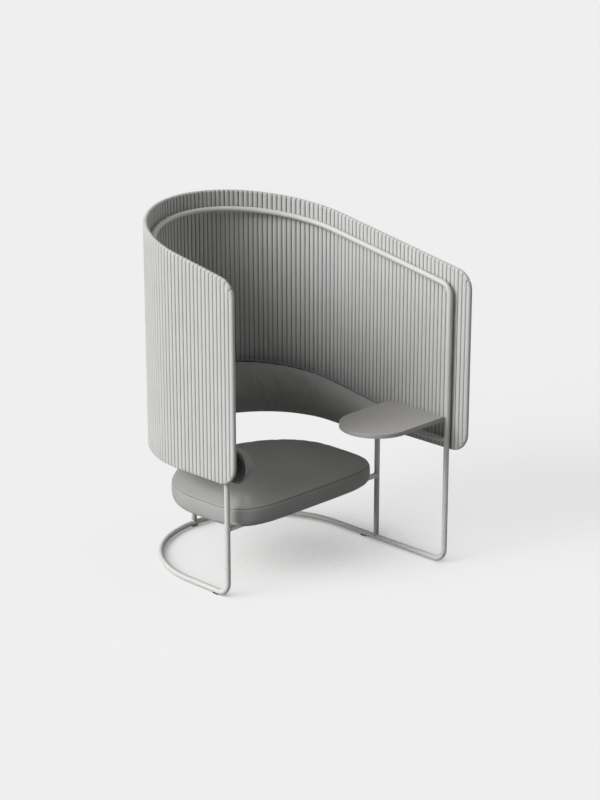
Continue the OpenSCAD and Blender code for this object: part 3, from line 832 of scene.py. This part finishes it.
@dataclass
class Screen:
    """Acoustic screen: one bent panel, ribbed on both faces, with a round rim.

    The ribs are counted on the left arm, the half circle and the right arm. Each has
    columns of points at the steps, but for those too near the rim or the ends' own.
    """

    mid_r: float = 0.451
    half_t: float = 0.010
    rim: float = 0.0095
    left_front: float = 0.308
    right_front: float = 0.675
    bottom_z: float = 0.480
    top_z: float = 1.332
    corner_r: float = 0.080
    ribs: tuple[int, int, int] = (15, 71, 34)
    rib_steps: tuple[float, ...] = (0.0, 0.05, 0.105, 0.18, 0.5, 0.82, 0.895, 0.95)
    near_rim: float = 4e-4
    near_end: float = 7e-4
    rows: int = 14
    rim_steps: int = 10
    tree: RibTree = field(default_factory=RibTree)

    def line(self) -> Line:
        """The plan's line along the middle of the panel."""
        return Line(self.mid_r, self.left_front)

    def marks(self) -> tuple[np.ndarray, np.ndarray]:
        """Runs of both ends and both bends of the panel, and the number of ribs up to each."""
        runs = np.cumsum([0.0, self.left_front, math.pi * self.mid_r, self.right_front])
        return runs, np.cumsum([0, *self.ribs])

    def columns(self) -> np.ndarray:
        """Distances along the panel at which it has a column of points."""
        bends, counts = self.marks()
        length = bends[-1]
        steps = np.concatenate([np.arange(counts[-1]) + s for s in self.rib_steps])
        runs = np.interp(steps, counts, bends)
        near = self.corner_r - (self.corner_r - self.rim) * np.cos(np.radians(np.arange(0.0, 90.1, 7.5)))
        ends = np.r_[near, length - near]
        edge = self.rim + self.near_rim
        runs = runs[(runs > edge) & (runs < length - edge)]
        apart = np.abs(runs[:, None] - ends[None, :]).min(1) > self.near_end
        return np.sort(np.r_[ends, runs[apart]])

    def borders(self, runs: np.ndarray) -> tuple[np.ndarray, np.ndarray, np.ndarray, np.ndarray]:
        """Lower and upper border of the panel's flat part, inside the rim.

        Args:
            runs: Distances along the panel.

        Returns:
            Lower heights, upper heights, and the outward slope normals (run, height) of each border.
        """
        length = self.marks()[0][-1]
        inner = self.corner_r - self.rim
        from_end = np.minimum(runs, length - runs)
        sign = np.where(runs < length / 2, -1.0, 1.0)
        into = np.clip((self.corner_r - from_end) / inner, 0.0, 1.0)
        level = np.sqrt(1 - into ** 2)
        low = self.bottom_z + self.corner_r - inner * level
        step = 1e-4
        y, ahead = (self.line().spots(places)[:, 1] - PLAN.centre_y
                    for places in (runs, runs + step))
        rise = (ahead - y) / step * PLAN.slope
        tilt = math.atan(PLAN.slope)
        high = self.top_z + y * PLAN.slope - self.rim / math.cos(tilt)
        high_way = np.stack([-rise, np.ones_like(rise)], -1)
        high_way /= np.linalg.norm(high_way, axis=1, keepdims=True)
        front = np.where(sign < 0, self.left_front, self.right_front)
        middle_z = self.top_z + (self.corner_r - front) * PLAN.slope - self.corner_r / math.cos(tilt)
        round_top = self.corner_r - from_end > inner * math.sin(tilt)
        high = np.where(round_top, middle_z + inner * level, high)
        high_way = np.where(round_top[:, None], np.stack([sign * into, level], -1), high_way)
        return low, high, np.stack([sign * into, -level], -1), high_way

    def skin(self) -> bpy.types.Object:
        """Builds the panel's smooth closed skin, with what the rib tree reads.

        Both flat faces are the same grid of points. The rim joins them by rings of points,
        which lean from the outer face's way to the inner one's.
        """
        runs = self.columns()
        low, high, low_way, high_way = self.borders(runs)
        n, m = len(runs), self.rows + 1
        run_grid = np.repeat(runs[:, None], m, 1)
        z_grid = low[:, None] + (high - low)[:, None] * np.linspace(0.0, 1.0, m)[None, :]
        loop = ([(i, 0) for i in range(n)] + [(n - 1, j) for j in range(1, m)]
                + [(i, m - 1) for i in range(n - 2, -1, -1)] + [(0, j) for j in range(m - 2, 0, -1)])
        ends = {0: (-1.0, 0.0), n - 1: (1.0, 0.0)}
        ways = np.array([ends.get(i, (high_way if j else low_way)[i]) for i, j in loop])
        loop_i, loop_j = np.array(loop).T
        flat = (run_grid.ravel(), z_grid.ravel(), np.zeros((n * m, 2)))
        edge = (run_grid[loop_i, loop_j], z_grid[loop_i, loop_j], ways)
        points, press, numbers, outwards = [], [], [], []
        for k in (0, self.rim_steps, *range(1, self.rim_steps)):
            mark, z, way = flat if k in (0, self.rim_steps) else edge
            turn = math.pi * k / self.rim_steps
            lean = way * math.sin(turn)
            run = mark + lean[:, 0] * self.rim
            spot = self.line().spots(run, self.half_t * math.cos(turn))
            out = self.line().outwards(run)
            points.append(np.column_stack([spot, z + lean[:, 1] * self.rim]))
            press.append(np.full(len(run), 0.3 + 0.7 * math.cos(turn) ** 2))
            numbers.append(np.interp(mark, *self.marks()))
            outwards.append(np.column_stack([out[:, 0] * math.cos(turn) + out[:, 1] * lean[:, 0],
                                             out[:, 1] * math.cos(turn) - out[:, 0] * lean[:, 0], lean[:, 1]]))
        size, around, border = n * m, len(loop), loop_i * m + loop_j
        faces = []
        for a in (i * m + j for i in range(n - 1) for j in range(m - 1)):
            faces += [(a, a + m, a + m + 1, a + 1), (size + a, size + a + 1, size + a + m + 1, size + a + m)]
        rim = (2 * size + k * around + np.arange(around) for k in range(self.rim_steps - 1))
        rings = [border, *rim, size + border]
        for near, far in zip(rings, rings[1:]):
            faces += zip(near, far, np.roll(far, -1), np.roll(near, -1))
        piece = mesh_piece("screen_panel", np.concatenate(points), faces)
        for name, kind, key, values in (("rib", "FLOAT", "value", numbers), ("press", "FLOAT", "value", press),
                                        ("outwards", "FLOAT_VECTOR", "vector", outwards)):
            layer = piece.data.attributes.new(name, kind, "POINT").data
            layer.foreach_set(key, np.concatenate(values).astype(np.float32).ravel())
        return piece

    def build(self) -> None:
        """Builds the panel and presses its ribs."""
        piece = self.skin()
        self.tree.press(piece, WARDROBE.material(FINISHES[Coat.FELT]))
        face_outwards(piece, merge=False)
        for name in ("rib", "press", "outwards"):
            piece.data.attributes.remove(piece.data.attributes[name])
        finish_piece(piece, Coat.FELT, ("screen_core", "screen_inner_cover", "screen_outer_cover"))


# Upholstery


CLOTH = {"use_pressure": True, "vertex_group_mass": "sewn", "tension_stiffness": 12.0,
         "compression_stiffness": 12.0, "shear_stiffness": 6.0, "bending_stiffness": 4.0, "quality": 5}


@dataclass
class Pad:
    """A pad filled by cloth simulation, which moves no point further than the cap, in metres."""

    voxel: float
    cap: float
    pressure: float = 4.0
    frames: int = 20

    def form(self) -> bpy.types.Object:
        """Builds the closed form, a little smaller than the finished pad."""
        raise NotImplementedError

    def hold(self, points: np.ndarray) -> np.ndarray:
        """Moves points back to where the neighbours let them be."""
        raise NotImplementedError

    def sewn(self, points: np.ndarray) -> np.ndarray:
        """Share, 0 to 1, by which each point is held in place."""
        raise NotImplementedError

    def crease(self, points: np.ndarray, normals: np.ndarray) -> None:
        """Draws the filled pad's seams in."""
        raise NotImplementedError

    def swell(self, piece: bpy.types.Object) -> None:
        """Runs the simulation on a piece and keeps the result."""
        rest = rows_of(piece)
        group = piece.vertex_groups.new(name=CLOTH["vertex_group_mass"])
        for n, weight in enumerate(self.sewn(rest)):
            if weight > 0.01:
                group.add([n], float(weight), "REPLACE")
        cloth = modify(piece, "CLOTH")
        for key, value in CLOTH.items():
            setattr(cloth.settings, key, value)
        cloth.settings.uniform_pressure_force = self.pressure
        cloth.settings.effector_weights.gravity = 0.0
        cloth.point_cache.frame_start = 1
        cloth.point_cache.frame_end = self.frames
        for step in range(1, self.frames + 1):
            bpy.context.scene.frame_set(step)
        flatten(piece)
        bpy.context.scene.frame_set(1)
        moved = rows_of(piece) - rest
        far = np.linalg.norm(moved, axis=1, keepdims=True)
        set_points(piece, self.hold(rest + moved * np.minimum(1.0, self.cap / np.maximum(far, 1e-9))))

    def fill(self, node: str) -> bpy.types.Object:
        """Builds the finished pad, which stands for a CAD node, and hands it back."""
        piece = self.form()
        modify(piece, "REMESH", mode="VOXEL", voxel_size=self.voxel, use_smooth_shade=True)
        flatten(piece)
        self.swell(piece)
        modify(piece, "SMOOTH", factor=0.5, iterations=6)
        modify(piece, "SUBSURF", levels=1, render_levels=1)
        flatten(piece)
        piece.data.polygons.foreach_set("use_smooth", [True] * len(piece.data.polygons))
        points = rows_of(piece)
        self.crease(points, rows_of(piece, "normal"))
        set_points(piece, points)
        finish_piece(piece, Coat.SEAT, (node,))
        return piece


@dataclass
class SeatCushion(Pad):
    """Seat cushion: flat below, drawn in at a seam all round, crowned above.

    The low rings are distances inwards and shares of the height up to the seam, the high
    ones go on with shares of the height above it. The board is set in and seats the cushion.
    """

    voxel: float = 0.0075
    cap: float = 0.024
    half_w: float = 0.404
    front: float = 0.294
    back: float = 0.328
    low_z: float = 0.277
    seam_z: float = 0.352
    crown_z: float = 0.399
    crown_share: float = 0.86
    front_square: float = 0.42
    slack: float = 0.0005
    crease_w: float = 0.0034
    crease_depth: float = 0.0022
    board_in: float = 0.0255
    board_top: float = 0.3124
    seam_r: float = 0.0009
    seam_in: float = 0.05
    steps: int = 160
    low: tuple[tuple[float, float], ...] = (
        (0.030, 0.0), (0.016, 0.004), (0.0085, 0.045), (0.0035, 0.14), (0.0005, 0.36), (0.0, 0.62), (0.002, 1.0))
    high: tuple[tuple[float, float], ...] = (
        (0.003, 0.12), (0.014, 0.34), (0.038, 0.53), (0.08, 0.68), (0.14, 0.82), (0.2, 0.92), (0.25, 0.97))

    def outline(self, inset: float) -> np.ndarray:
        """X and Y of the cushion's outline in plan, moved inwards by the inset."""
        a = np.linspace(0.0, 2 * math.pi, self.steps, endpoint=False)
        forward = np.sin(a) < -1e-9
        power = np.where(forward, self.front_square, 1.0)
        depth = np.where(forward, self.front, self.back) - inset
        return np.column_stack([(self.half_w - inset) * powered(np.cos(a), power),
                                depth * powered(np.sin(a), power) + PLAN.centre_y])

    def reach(self, points: np.ndarray) -> np.ndarray:
        """Distance of points inwards from the outline, about."""
        x, y = points[:, 0], points[:, 1] - PLAN.centre_y
        forward = y < 0
        power = np.where(forward, 1 / self.front_square, 1.0) * 2.0
        depth = np.where(forward, self.front, self.back)
        level = (np.abs(x / self.half_w) ** power + np.abs(y / depth) ** power) ** (1 / power)
        return (1 - level) * np.minimum(self.half_w, depth)

    def form(self) -> bpy.types.Object:
        """Builds the form before it is filled, a little small."""
        rings = [(inset, self.low_z + share * (self.seam_z - self.low_z)) for inset, share in self.low]
        rings += [(inset, self.seam_z + share * (self.crown_z - self.seam_z) * self.crown_share)
                  for inset, share in self.high]
        return solid_piece("seat_pad", *fanned_skin([
            np.column_stack([self.outline(inset + self.slack), np.full(self.steps, z)]) for inset, z in rings]))

    def hold(self, points: np.ndarray) -> np.ndarray:
        """Keeps points between the underside and the crown."""
        return np.column_stack([points[:, :2], np.clip(points[:, 2], self.low_z + 0.0004, self.crown_z + 0.004)])

    def seam_share(self, points: np.ndarray, width: float, depth: float) -> np.ndarray:
        """Share of points in the seam, by its width in height and by how far inwards it counts."""
        return np.exp(-((points[:, 2] - self.seam_z) / width) ** 2) * (self.reach(points) < depth)

    def sewn(self, points: np.ndarray) -> np.ndarray:
        """Share by which points are held: at the seam, and on the flat underside."""
        return np.maximum(self.seam_share(points, 0.006, 0.045) * 0.9, points[:, 2] < self.low_z + 0.003)

    def crease(self, points: np.ndarray, normals: np.ndarray) -> None:
        """Draws the filled pad's seam in and seats its underside on the board."""
        points -= normals * (self.seam_share(points, self.crease_w, self.seam_in) * self.crease_depth)[:, None]
        under = (normals[:, 2] < -0.6) & (self.reach(points) > self.board_in - 0.004)
        points[under, 2] = self.board_top

    def seam_path(self, piece: bpy.types.Object) -> np.ndarray:
        """Line of the seam on the finished pad's surface."""
        turn = np.linspace(-math.pi, math.pi, 300, endpoint=False)
        way = np.column_stack([np.cos(turn), np.sin(turn), np.zeros(300)])
        return traced(piece, way + (0.0, PLAN.centre_y, self.seam_z), -way)

    def build(self) -> None:
        """Builds the filled cushion and the thin dark line of its seam, a cord whose colour is painted shade of the
        seam's crease.
        """
        piece = self.fill("seat_cushion")
        # the cord's dark colour is painted shade of the seam's crease
        cord = solid_piece("seat_seam_shade", *tube_mesh(self.seam_path(piece), self.seam_r, 8, closed=True))
        finish_piece(cord, Coat.SEAT, finish=SEAM_PAINTED_SHADE)
        WARDROBE.dress_nodes(Coat.BOARD, "seat_board")


@dataclass
class Backrest(Pad):
    """Horseshoe backrest: one padded form, glued to a moulded shell at its back."""

    voxel: float = 0.0065
    cap: float = 0.022
    face_r: float = 0.3977
    thickness: float = 0.064
    low_z: float = 0.472
    top_z: float = 0.648
    slope: float = math.tan(math.radians(9.1))
    front: float = 0.312
    slack: float = 0.005
    crease_w: float = 0.0032
    crease_depth: float = 0.0014
    glued: float = 0.012
    seam_r: float = 0.0008
    welt_r: float = 0.0022
    welt_in: float = 0.0018
    section: int = 64
    seam_turns: tuple[float, ...] = (55.0, 125.0)

    def end(self) -> tuple[float, float, float]:
        """Radius of the round ends, their distance in front of the arc and their height."""
        factor = math.cos(math.atan(self.slope))
        factor = factor / (1 + factor)
        radius = (self.top_z - self.front * self.slope - self.low_z) * factor / (1 - self.slope * factor)
        return radius, self.front - radius, self.low_z + radius

    def stations(self) -> np.ndarray:
        """Distances along the plan line, from the left tip to the right tip."""
        radius, start, _ = self.end()
        tip = radius * np.cos(np.radians(np.arange(4.0, 90.1, 8.6)))
        arm = np.r_[start + tip, np.linspace(start, 0.0, 12)[1:-1]]
        half_turn = math.pi * (self.face_r - self.thickness / 2)
        arc = np.linspace(0.0, half_turn, 90)
        return np.r_[self.front - arm, self.front + arc, self.front + half_turn + arm[::-1]]

    def ring(self, run: float) -> np.ndarray:
        """Points of one section of the pad, square to the plan's line at this run."""
        radius, start, end_z = self.end()
        line = Line(self.face_r - self.thickness / 2, self.front)
        y = float(line.spots(np.array([run]))[0, 1] - PLAN.centre_y)
        beyond = max(0.0, -y - start) / radius
        lift = math.sqrt(max(0.0, 1 - beyond ** 2))
        top = self.top_z + y * self.slope
        mid_z, half_h = (end_z, radius * lift) if beyond > 0 else ((self.low_z + top) / 2, (top - self.low_z) / 2)
        thick = (self.thickness - self.slack) * max(lift, 0.05) ** 0.45
        a = np.arange(self.section) * 2 * math.pi / self.section
        facing = np.cos(a) > 0
        deep = thick / 2 * (1 + powered(np.cos(a), np.where(facing, 0.95, 0.2)))
        up = powered(np.sin(a), np.where(facing, 0.8, 0.2))
        less = self.slack * np.clip(np.cos(a) * 3 + 1, 0.0, 1.0)
        spots = line.spots(np.full(self.section, run), self.thickness / 2 - deep - 0.0004)
        return np.column_stack([spots, mid_z + np.maximum(half_h - less, 0.001) * up])

    def form(self) -> bpy.types.Object:
        """Builds the form before it is filled, section by section."""
        return solid_piece("backrest_pad", *fanned_skin([self.ring(run) for run in self.stations()]))

    def plan_radius(self, points: np.ndarray) -> np.ndarray:
        """Distance of points from the plan's middle line, across it."""
        y = points[:, 1] - PLAN.centre_y
        return np.where(y > 0, np.hypot(points[:, 0], y), np.abs(points[:, 0]))

    def hold(self, points: np.ndarray) -> np.ndarray:
        """Keeps points inside the shell."""
        x, y, z = points[:, 0], points[:, 1] - PLAN.centre_y, points[:, 2]
        share = np.minimum(1.0, (self.face_r - 0.0003) / np.maximum(self.plan_radius(points), 1e-6))
        return np.column_stack([x * share, np.where(y > 0, y * share, y) + PLAN.centre_y, z])

    def sewn(self, points: np.ndarray) -> np.ndarray:
        """Share by which points are held: the back, which is glued to the shell."""
        return (self.plan_radius(points) > self.face_r - self.glued) * 1.0

    def crease(self, points: np.ndarray, normals: np.ndarray) -> None:
        """Draws the filled pad's upright seams in."""
        turn = np.arctan2(points[:, 1] - PLAN.centre_y, points[:, 0])
        shown = self.plan_radius(points) < self.face_r - self.glued
        for seam in self.seam_turns:
            away = (turn - math.radians(seam)) * self.face_r
            points -= normals * (np.exp(-(away / self.crease_w) ** 2) * self.crease_depth * shown)[:, None]

    def seam_path(self, piece: bpy.types.Object, seam: float) -> np.ndarray:
        """Line of the upright seam at a turn on the plan's arc, in degrees, on the finished pad."""
        lean = np.radians(np.linspace(-82.0, 82.0, 50))
        out = np.array([math.cos(math.radians(seam)), math.sin(math.radians(seam)), 0.0])
        middle = out * (self.face_r - self.glued) + (0.0, PLAN.centre_y, (self.low_z + self.top_z) / 2 + 0.02)
        way = np.outer(np.cos(lean), out) + np.outer(np.sin(lean), (0.0, 0.0, -1.0))
        return traced(piece, middle - way * 0.3, way)

    def welt(self) -> np.ndarray:
        """Line of the welt, where the pad's skin is drawn over the shell's edge."""
        radius, start, end_z = self.end()
        r, inner = self.face_r - 0.0015, radius - self.welt_in
        turn = np.linspace(-math.pi / 2, -1.5 * math.pi + math.atan(self.slope), 40)
        end_y, end_h = PLAN.centre_y + (-start + inner * np.cos(turn)), end_z + inner * np.sin(turn)
        left, right = (np.column_stack([np.full(40, side * r), end_y, end_h]) for side in (-1, 1))
        arc = np.radians(np.linspace(0.0, 180.0, 140))
        x, y = r * np.cos(arc), r * np.sin(arc)
        over, under = (np.column_stack([x, PLAN.centre_y + y, z])
                       for z in (self.top_z + y * self.slope - self.welt_in, np.full(140, self.low_z + self.welt_in)))
        return one_path(right, over, left[::-1], under[::-1])

    def build(self) -> None:
        """Builds the filled pad, its seams and its welt."""
        piece = self.fill("backrest_cushion")
        for number, seam in enumerate(self.seam_turns, 1):
            line = tube_mesh(self.seam_path(piece, seam), self.seam_r, 8)
            finish_piece(solid_piece(f"backrest_seam_{number}", *line), Coat.SEAT)
        welt = tube_mesh(self.welt(), self.welt_r, 12, closed=True)
        finish_piece(solid_piece("backrest_welt", *welt), Coat.SEAT)
        WARDROBE.dress_nodes(Coat.SHELL, "backrest_shell")


@dataclass
class Table:
    """Side table: a D shaped top, held by a pin at the leg and by an angled flat bar."""

    right: float = 0.404
    front: float = 0.594
    depth: float = 0.290
    length: float = 0.380
    thickness: float = 0.018
    top_z: float = 0.627
    edge: float = 0.0014
    corner: float = 0.003

    def outline(self) -> np.ndarray:
        """Plan outline of the top."""
        y, r, c = PLAN.centre_y - self.front, self.depth / 2, self.corner
        quarter = np.linspace(0.0, math.pi / 2, 6)
        low = arc_points((self.right - c, y + c, 0), (0, -c, 0), (c, 0, 0), quarter)
        high = arc_points((self.right - c, y + self.depth - c, 0), (c, 0, 0), (0, c, 0), quarter)
        half = arc_points((self.right - self.length + r, y + r, 0), (0, r, 0), (-r, 0, 0),
                          np.linspace(0.0, math.pi, 61))
        return one_path(low, high, half)[:, :2]

    def build(self) -> None:
        """Builds the top with softened edges, and dresses its fixings."""
        line = self.outline()
        away = line - line.mean(0)
        away /= np.linalg.norm(away, axis=1, keepdims=True)
        turns = np.linspace(0.0, math.pi / 2, 4)
        fall, rise = self.edge * (1 - np.sin(turns)), self.edge * (1 - np.cos(turns))
        rings = [*zip(fall, self.top_z - self.thickness + rise), *zip(rise, self.top_z - fall)]
        shells = [np.column_stack([line - away * inset, np.full(len(line), z)]) for inset, z in rings]
        n, m = len(line), len(shells)
        piece = solid_piece("table_plate", np.concatenate(shells), grid_faces(m, n) + flat_caps(m, n))
        piece.data.polygons.foreach_set("use_smooth", [abs(p.normal.z) <= 0.999 for p in piece.data.polygons])
        finish_piece(piece, Coat.TABLE, ("table_top",))
        WARDROBE.dress_nodes(Coat.FRAME, "table_pin", "table_bracket")


# Studio


@dataclass(frozen=True)
class Lamp:
    """One distant lamp: where it stands, its strength and the angle it fills, in degrees."""

    name: str
    source: Rgb
    power: float
    spread: float

    def build(self) -> None:
        """Adds the lamp."""
        data = bpy.data.lights.new(self.name, "SUN")
        data.energy = self.power
        data.angle = math.radians(self.spread)
        lamp = place_object(self.name, data)
        lamp.rotation_euler = Vector(self.source).to_track_quat("Z", "Y").to_euler()

    def on_floor(self) -> float:
        """Tone that the lamp gives a white floor."""
        return self.power / math.pi * Vector(self.source).normalized().z


@dataclass
class Studio:
    """Floor, lamps, sky and camera."""

    camera_spot: Rgb = (-5.457, -5.473, 3.238)
    azimuth: float = 45.41
    elevation: float = 18.33
    focal_px: float = 2077.0
    photo_px: float = 800.0
    sensor: float = 36.0
    sky: float = 0.025
    background: float = 0.862
    floor_half: float = 60.0
    lamps: tuple[Lamp, ...] = (
        Lamp("key", (-0.858, 0.121, 0.500), 1.45, 40.0),
        Lamp("key_low", (-0.862, 0.402, 0.309), 1.05, 30.0),
        Lamp("key_high", (-0.791, 0.168, 0.588), 1.05, 24.0),
        Lamp("overhead", (0.0, 0.0, 1.0), 0.42, 60.0),
        Lamp("side_fill", (0.72, -0.60, 0.35), 0.52, 60.0),
    )

    def camera(self) -> None:
        """Places the camera at the photograph's viewing angle."""
        data = bpy.data.cameras.new("camera")
        data.sensor_width = self.sensor
        data.lens = self.focal_px / self.photo_px * self.sensor
        data.clip_end = 200.0
        view = place_object("camera", data)
        a, e = math.radians(self.azimuth), math.radians(self.elevation)
        ahead = Vector((math.sin(a) * math.cos(e), math.cos(a) * math.cos(e), -math.sin(e)))
        view.location = self.camera_spot
        view.rotation_euler = ahead.to_track_quat("-Z", "Y").to_euler()
        bpy.context.scene.camera = view

    def world(self) -> None:
        """Makes the sky: dim light for the object, the background's tone for the camera and gloss."""
        world = bpy.data.worlds.new("studio")
        world.use_nodes = True
        bpy.context.scene.world = world
        g = Graph(world.node_tree)
        world.node_tree.nodes.clear()
        light = g.add("ShaderNodeBackground", None, {"Color": (1.0, 1.0, 1.0), "Strength": self.sky})
        shown = g.add("ShaderNodeBackground", None, {"Color": (1.0, 1.0, 0.995), "Strength": self.background})
        both = g.add("ShaderNodeMixShader", None, {0: g.in_view(), 1: light, 2: shown})
        g.add("ShaderNodeOutputWorld", None, {"Surface": both})

    def floor(self) -> None:
        """Makes the floor."""
        corners = [(x * self.floor_half, y * self.floor_half, 0) for x, y in ((-1, -1), (1, -1), (1, 1), (-1, 1))]
        piece = mesh_piece("studio_floor", corners, [(0, 1, 2, 3)], smooth=False)
        light = self.sky + sum(lamp.on_floor() for lamp in self.lamps)
        piece.data.materials.append(WARDROBE.material(StudioFloor("studio_floor", (0.26, 0.26, 0.26), light)))

    def build(self) -> None:
        """Builds floor, sky, lamps and camera."""
        self.floor()
        self.world()
        for lamp in self.lamps:
            lamp.build()
        self.camera()
        bpy.context.scene.view_settings.view_transform = "Standard"


def main() -> None:
    """Builds the chair, one sub-assembly after another."""
    logging.basicConfig(level=logging.INFO, format="%(name)s: %(message)s")
    for part in (Studio(), TubeFrame(), Glides(), Screen(), Table(), Backrest(), SeatCushion()):
        part.build()


if __name__ == "__main__":
    main()
